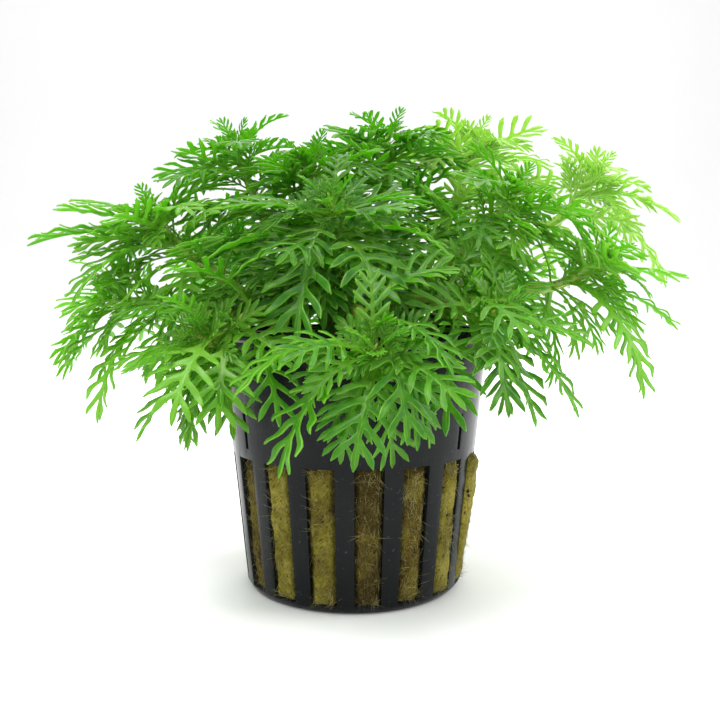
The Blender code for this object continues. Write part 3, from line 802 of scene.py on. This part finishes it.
def leaf_finish(name, dark, mid, light, rib_and_lit_edge_colour, through):
    """A leaf's material, dark to light with its own green and with painted light and shade. Light comes
    through in one more colour.
    """
    made, nodes, links, shader = new_material(name, Roughness=0.30, Specular_IOR_Level=0.5)
    mottle = object_noise(nodes, links, 420, detail=3)
    body = ramp(nodes, links, attribute(nodes, "lit_tone"), (0.0, dark), (0.5, mid), (1.0, light))
    rib = attribute(nodes, "rib")
    # The paler midrib is the leaf's own colour; the paler edge is painted light glowing at the thin
    # margins.
    lit_edge_and_rib = ((0.0, grey(0.40)), (0.16, grey(0)), (0.78, grey(0)), (1.0, grey(0.6)))
    rib_and_lit_edge = ramp(nodes, links, rib, *lit_edge_and_rib)
    patched = ramp(nodes, links, mottle, (0.35, grey(0)), (0.75, grey(0.45)))
    green = mix(nodes, links, patched, body, light)
    green = mix(nodes, links, rib_and_lit_edge, green, rib_and_lit_edge_colour)
    along = attribute(nodes, "along")
    stalk = ramp(nodes, links, along, (0.0, grey(0.85)), (0.32, grey(0.25)), (0.5, grey(0)))
    green = mix(nodes, links, stalk, green, rib_and_lit_edge_colour)
    links.new(green, shader.inputs["Base Color"])
    bump(nodes, links, shader, mottle, 0.05 * MM)
    bump(nodes, links, shader, rib, 0.12 * MM)
    glow = nodes.new("ShaderNodeBsdfTranslucent")
    links.new(mix(nodes, links, GLOW_TINT, green, through), glow.inputs["Color"])
    blend = nodes.new("ShaderNodeMixShader")
    blend.inputs["Fac"].default_value = GLOW_SHARE
    links.new(shader.outputs["BSDF"], blend.inputs[1])
    links.new(glow.outputs["BSDF"], blend.inputs[2])
    links.new(blend.outputs["Shader"], nodes["Material Output"].inputs["Surface"])
    return made


# The dark end is dark enough to serve as painted shade for the leaves deep inside the plant.
green_leaf = leaf_finish(
    "green_leaf",
    dark=(0.002, 0.040, 0.001),
    mid=(0.014, 0.145, 0.005),
    light=(0.25, 0.50, 0.050),
    rib_and_lit_edge_colour=(0.36, 0.60, 0.06),
    through=(0.37, 0.88, 0.010),
)
# A paler, painted-light copy of the leaf finish, for the shoots at the back right.
pale_leaf = leaf_finish(
    "pale_leaf",
    dark=(0.13, 0.32, 0.040),
    mid=(0.31, 0.51, 0.11),
    light=(0.47, 0.66, 0.17),
    rib_and_lit_edge_colour=(0.52, 0.76, 0.18),
    through=(0.60, 0.95, 0.18),
)


def finish_leaf(piece, node):
    """Material and frame calls of a leaf or a crown of leaves."""
    # Shoots at the back right take the painted-light copy of the finish.
    pale = any(shoot in node for shoot in LIT_PALE_SHOOTS)
    piece.data.materials.clear()
    piece.data.materials.append(pale_leaf if pale else green_leaf)
    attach(piece, "root")
    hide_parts(node)


# Large leaves: each springs from its stem below the crown, rises and arches over. It takes the root,
# tip, bend and upper side of its imported solid.
# Painted light: leaves towards the sides, back and top are painted paler, as the light behind them falls
# there.
OUTERMOST = 48 * MM
FRONT_LIGHT = 0.75
TOP_FROM, TOP_OVER = 72 * MM, 18 * MM
PAINTED_LIGHT_OUTSIDE, PAINTED_LIGHT_ON_TOP = 0.78, 0.16
STALK_REACH = 1.6 * MM


def outer_light(spot):
    """Painted light at a spot, which makes leaves paler towards the sides, back and top, less so at the
    front.
    """
    out = Vector((spot.x, spot.y if spot.y > 0 else FRONT_LIGHT * spot.y)).length
    high = max(0, min(1, (spot.z - TOP_FROM) / TOP_OVER))
    return PAINTED_LIGHT_OUTSIDE * min(1, out / OUTERMOST) ** 2 + PAINTED_LIGHT_ON_TOP * high


for node in sorted(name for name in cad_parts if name.startswith("leaf_")):
    points = {tuple(round(value, 6) for value in vert.co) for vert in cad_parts[node].data.vertices}
    points = [Vector(point) for point in sorted(points)]
    ends = max(((a, b) for a in points for b in points), key=lambda pair: (pair[0] - pair[1]).length)
    stalks = [[p for p in points if (p - end).length < STALK_REACH] for end in ends]
    root_end = 0 if len(stalks[0]) > len(stalks[1]) else 1
    root, tip = centre(stalks[root_end]), ends[1 - root_end]
    blade = [p for p in points if p not in stalks[root_end] and p != tip]
    # The leaf's own green at random, plus painted light from where it sits.
    lit_tone = draw.uniform(0.1, 0.6) + outer_light(root)
    pose = leaf_pose(root, tip, blade)
    leaf = bent_copy(mature, node.replace("leaf_", "feather_"), pose, lit_tone, folds=(0, 0.45))
    finish_leaf(leaf, node)

# Crowns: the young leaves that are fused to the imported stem, and between them more on a close spiral
# round the growing tip, from short, broad and upright ones in the bud to longer ones that spread.
CROWN_LEAVES = 22
CROWN_HEIGHT = 4.9 * MM
BUD_AGE = 0.65
BUD_OPENING, CROWN_OPENING = 12, 70
BUD_LENGTH, CROWN_GROWTH = 3.2 * MM, 10.5 * MM
CROWN_BENDS = (25, 55)
SET_BACK = 0.25
OFF_AXIS = 0.3 * MM
SPIRAL = radians(137.5)
SHORT_LEAF, LONG_LEAF = 14 * MM, 18 * MM


def form_for(length):
    """The leaf form with as much detail as a leaf of that length shows."""
    if length < SHORT_LEAF:
        return young_leaf
    return older_leaf if length < LONG_LEAF else mature


def spiral_side(way, number):
    """Direction in which leaf number stands off a stem that grows along way."""
    first = way.orthogonal().normalized()
    return cos(number * SPIRAL) * first + sin(number * SPIRAL) * way.cross(first)


def facing(out, up):
    """Upper side of a leaf that grows along out and turns its face towards up."""
    return (up - up.dot(out) * out).normalized()


def join_leaves(leaves, name, node):
    """Makes leaves one piece of that name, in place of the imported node."""
    bpy.ops.object.select_all(action="DESELECT")
    for leaf in leaves:
        leaf.select_set(True)
    bpy.context.view_layer.objects.active = leaves[0]
    bpy.ops.object.join()
    joined = bpy.context.object
    joined.name = name
    finish_leaf(joined, node)


for name in SHOOTS:
    middles, young = walks[name]
    crown, bud = middles[CROWN_RING], middles[-1]
    # Painted light for the whole shoot, from where its bud sits.
    lit = outer_light(bud)
    axis = (bud - crown).normalized()
    leaves = []
    for base, blade in young:
        root = centre(base)
        tip = max(blade, key=lambda point: (point - root).length)
        pose = leaf_pose(root, tip, [point for point in blade if point != tip])
        length = pose[3]
        height = max(0, (root - crown).dot(axis)) / (bud - crown).length
        lit_tone = min(1, 0.2 + 0.15 * height + lit + draw.uniform(-0.12, 0.12))
        leaves.append(bent_copy(form_for(length), f"young_{len(leaves)}", pose, lit_tone, folds=(0.15, 0.6)))
    for number in range(CROWN_LEAVES):
        age = (number / (CROWN_LEAVES - 1)) ** 1.3
        spoke = spiral_side(axis, number)
        opening = radians(BUD_OPENING + CROWN_OPENING * age**0.6 + draw.uniform(-5, 5))
        out = sin(opening) * spoke + cos(opening) * axis
        length = (BUD_LENGTH + CROWN_GROWTH * age**0.9) * draw.uniform(0.9, 1.1)
        height = CROWN_HEIGHT * (1 - age) - SET_BACK * length * cos(opening)
        start = crown + height * axis + OFF_AXIS * spoke
        pose = (start, out, facing(out, axis), length, radians(draw.uniform(*CROWN_BENDS)))
        form = bud_leaf if age < BUD_AGE else young_leaf
        lit_tone = min(1, 0.5 - 0.3 * age + lit)
        leaves.append(bent_copy(form, f"crown_{number}", pose, lit_tone, folds=(0.2, 0.7)))
    join_leaves(leaves, name.replace("stem_", "crown_"), name)

# Lower leaves: older leaves further down each stem, on a spiral below a collar of young ones, lower
# than the bud and off the pot. More reach out over the gaps between shoots, listed as (bearing, rise
# and bend in degrees, length in mm). The older ones turn their faces up and outwards.
LOWER_LEAVES = 24
THIN_SHOOTS = ("stem_right_low", "stem_right_side", "stem_far_right")
THIN_LEAVES = 13
FIRST_LOWER = 0.4 * MM
LOWER_STEP = 1.0 * MM
LOWER_LENGTHS = (17 * MM, 21 * MM)
LOWER_OPENING, OPENS_FURTHER = 40, 44
LOWER_BENDS, BENDS_FURTHER = (20, 45), 30
LIFTS, LIFT_STEP = 6, 0.25
DROPS = (0, 25, 50)
COLLAR_LEAVES = 9
COLLAR_LENGTHS = (8 * MM, 12 * MM)
COLLAR_SPREAD, COLLAR_BEND = 0.75, 40
TALL_SHOOT = 80 * MM
TALL_BENDS = (15, 35)
THINNED = 8
OVER_BUD = -0.5 * MM
OVER_RIM, OFF_RIM = 2 * MM, 4 * MM
BOX_MARGIN = 2.5 * MM
TURNED_OUT = 0.5
WIDE_OF_AXIS = 20 * MM
UP = Vector((0, 0, 1))
REACHING_LEAVES = {
    "stem_left_high": [
        (182, 38, 40, 19), (196, 26, 30, 21), (170, 20, 35, 21), (208, 8, 25, 20), (185, 2, 20, 21),
    ],
    "stem_top_left": [(-12, 16, 30, 20), (-35, 10, 40, 18), (188, 18, 45, 19)],
    "stem_centre": [
        (175, 22, 40, 19), (20, 18, 40, 18), (215, 5, 40, 20), (-45, -5, 40, 20), (-100, -15, 40, 20),
    ],
    "stem_top_middle": [(175, 14, 35, 20), (0, 12, 35, 18), (-85, 0, 40, 20), (-50, -10, 40, 20)],
    "stem_front_high": [
        (-150, -10, 40, 21), (-30, -15, 40, 21), (-100, -45, 30, 20), (-60, -50, 30, 20),
        (-12, 8, 35, 20), (-125, -30, 35, 21), (-88, -68, 20, 17), (-152, -42, 25, 21),
    ],
    "stem_right_high": [(-170, 0, 40, 20), (-145, -20, 40, 20), (-80, -10, 40, 20)],
    "stem_back_left": [(95, 10, 40, 20), (150, -10, 40, 20), (60, 0, 40, 19)],
    "stem_back_middle": [(90, 15, 40, 16), (50, -10, 40, 18), (130, -10, 40, 18)],
    "stem_back_right": [(75, 10, 40, 20), (30, -10, 40, 20), (110, 0, 40, 20)],
    "stem_left_side": [(200, -20, 40, 20)],
    "stem_left_low": [
        (205, -35, 30, 21), (240, -50, 25, 20), (-28, 12, 60, 20), (22, 25, 30, 21), (-60, 8, 60, 19),
    ],
    "stem_front_low": [(168, 12, 30, 20), (15, 15, 35, 19)],
    "stem_right_low": [(-40, -45, 30, 21)],
}


def down_stem(middles, distance):
    """Middle of the stem and its way towards the tip, at a distance below the crown."""
    for upper, lower in zip(middles[CROWN_RING::-1], middles[CROWN_RING - 1 :: -1]):
        if distance <= (upper - lower).length:
            break
        distance -= (upper - lower).length
    way = (upper - lower).normalized()
    return upper - distance * way, way


def arc_points(pose):
    """Four points along a leaf's midrib, the last at its tip."""
    root, out, face_up, length, bend = pose
    sweep = length / bend
    turns = [bend * share / 4 for share in range(1, 5)]
    return [root + sweep * (sin(turn) * out - (1 - cos(turn)) * face_up) for turn in turns]


def has_room(pose, top):
    """Whether a leaf stays clear of the pot, below a top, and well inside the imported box's four sides."""
    for point in arc_points(pose):
        at_pot = point.z < POT_HEIGHT + OVER_RIM and point.xy.length < RIM_RADIUS + OFF_RIM
        if at_pot or point.z > top:
            return False
        sides = zip(point.xy, *cad_box)
        if any(not low + BOX_MARGIN <= place <= high - BOX_MARGIN for place, low, high in sides):
            return False
    return True


for name in SHOOTS:
    middles, _ = walks[name]
    tall = middles[-1].z > TALL_SHOOT
    # Painted light for the whole shoot, from where its bud sits.
    lit = outer_light(middles[-1])
    away = Vector((*middles[CROWN_RING].xy, 0)) / WIDE_OF_AXIS
    upward = UP + TURNED_OUT * away / max(1, away.length)
    leaves = []
    for number in range(THIN_LEAVES if name in THIN_SHOOTS else LOWER_LEAVES):
        depth = number / LOWER_LEAVES
        place, way = down_stem(middles, FIRST_LOWER + number * LOWER_STEP)
        if number < COLLAR_LEAVES:
            out = (COLLAR_SPREAD * spiral_side(way, number + 0.5) + way).normalized()
            pose = (place, out, facing(out, way), draw.uniform(*COLLAR_LENGTHS), radians(COLLAR_BEND))
            leaves.append(bent_copy(young_leaf, f"collar_{number}", pose, lit_tone=0.2 + lit, folds=(0.1, 0.6)))
        if tall and number < THINNED and number % 2:
            continue
        opening = radians(LOWER_OPENING + OPENS_FURTHER * depth)
        spread = sin(opening) * spiral_side(way, number) + cos(opening) * way
        for lift, drop in product(range(LIFTS), DROPS):
            out = (spread + LIFT_STEP * lift * UP).normalized()
            length = draw.uniform(*LOWER_LENGTHS)
            bend = draw.uniform(*TALL_BENDS) if tall else draw.uniform(*LOWER_BENDS) + BENDS_FURTHER * depth
            pose = (place, out, facing(out, upward), length, radians(bend + drop))
            if has_room(pose, middles[-1].z + OVER_BUD):
                # Leaves lower down are painted darker, partly for their age and partly as painted shade
                # inside the plant.
                lit_tone = max(0, 0.32 - 0.35 * depth + lit + draw.uniform(-0.1, 0.1))
                leaves.append(bent_copy(older_leaf, f"lower_{number}", pose, lit_tone, folds=(-0.1, 0.5)))
                break
    for number, (bearing, rise, bend, length) in enumerate(REACHING_LEAVES.get(name, ())):
        place, _ = down_stem(middles, FIRST_LOWER + number * LOWER_STEP)
        bearing, rise = radians(bearing), radians(rise)
        out = Vector((cos(bearing) * cos(rise), sin(bearing) * cos(rise), sin(rise)))
        pose = (place, out, facing(out, upward), length * MM, radians(bend))
        leaves.append(bent_copy(older_leaf, f"reaching_{number}", pose, lit_tone=0.3 + lit, folds=(0, 0.4)))
    join_leaves(leaves, name.replace("stem_", "lower_leaves_"), name)
for form in (mature, older_leaf, young_leaf, bud_leaf):
    bpy.data.objects.remove(form)

# Studio: a pale floor that sweeps up into a backdrop, a large soft light above and in front, weaker
# ones from the right and from behind, and an even pale surround. The camera stands where the photo's
# did, as fitted to the pot's outline.
FLOOR_SIZE = 3.0
SWEEP_WIDTH = 0.6
AIM_HEIGHT = 0.055
SURROUND_LIGHT = 0.85
FOCAL_PIXELS, FRAME_PIXELS = 819, 720
SENSOR = 36.0
CAMERA_AT = (1.17 * MM, -161.5 * MM, 55.6 * MM)
CAMERA_DIP = 0.074
bpy.ops.mesh.primitive_plane_add(size=FLOOR_SIZE)
floor = bpy.context.object
floor.name = "studio_floor"
bpy.ops.object.mode_set(mode="EDIT")
bpy.ops.mesh.select_mode(type="EDGE")
select_edges(lambda spot: spot.y > FLOOR_SIZE / 2 - MM)
bpy.ops.mesh.extrude_region_move(TRANSFORM_OT_translate={"value": (0, 0, FLOOR_SIZE)})
bpy.ops.object.mode_set(mode="OBJECT")
sweep = floor.modifiers.new("Sweep", "BEVEL")
sweep.width = SWEEP_WIDTH
sweep.segments = 12
sweep.limit_method = "ANGLE"
floor.data.shade_smooth()
floor_mat, nodes, links, shader = new_material("studio_white", Roughness=0.9, Specular_IOR_Level=0.1)
grain = object_noise(nodes, links, 3, detail=2)
off_white = ramp(nodes, links, grain, (0.0, grey(0.86)), (1.0, grey(0.90)))
links.new(off_white, shader.inputs["Base Color"])
floor.data.materials.append(floor_mat)


def soft_light(name, spot, size, watts):
    """A square area light at a spot, aimed at the middle of the plant."""
    light = bpy.data.lights.new(name, "AREA")
    light.energy = watts
    light.size = size
    holder = bpy.data.objects.new(name, light)
    bpy.context.scene.collection.objects.link(holder)
    holder.location = spot
    aim = Vector((0, 0, AIM_HEIGHT)) - holder.location
    holder.rotation_euler = aim.to_track_quat("-Z", "Y").to_euler()


soft_light("key_light", (-0.25, -0.2, 0.85), size=0.6, watts=9.5)
soft_light("fill_light", (0.8, 0.0, 0.5), size=0.6, watts=5)
soft_light("back_light", (0.1, 0.7, 0.7), size=0.9, watts=8)
world = bpy.data.worlds.new("studio")
world.use_nodes = True
world.node_tree.nodes["Background"].inputs["Color"].default_value = (1, 1, 1, 1)
world.node_tree.nodes["Background"].inputs["Strength"].default_value = SURROUND_LIGHT
bpy.context.scene.world = world
camera_data = bpy.data.cameras.new("camera")
camera_data.sensor_width = SENSOR
camera_data.lens = FOCAL_PIXELS / FRAME_PIXELS * SENSOR
camera = bpy.data.objects.new("camera", camera_data)
bpy.context.scene.collection.objects.link(camera)
camera.location = CAMERA_AT
camera.rotation_euler = (pi / 2 - CAMERA_DIP, 0, 0)
camera_data.clip_start = 0.01
bpy.context.scene.camera = camera
bpy.context.scene.view_settings.view_transform = "Standard"
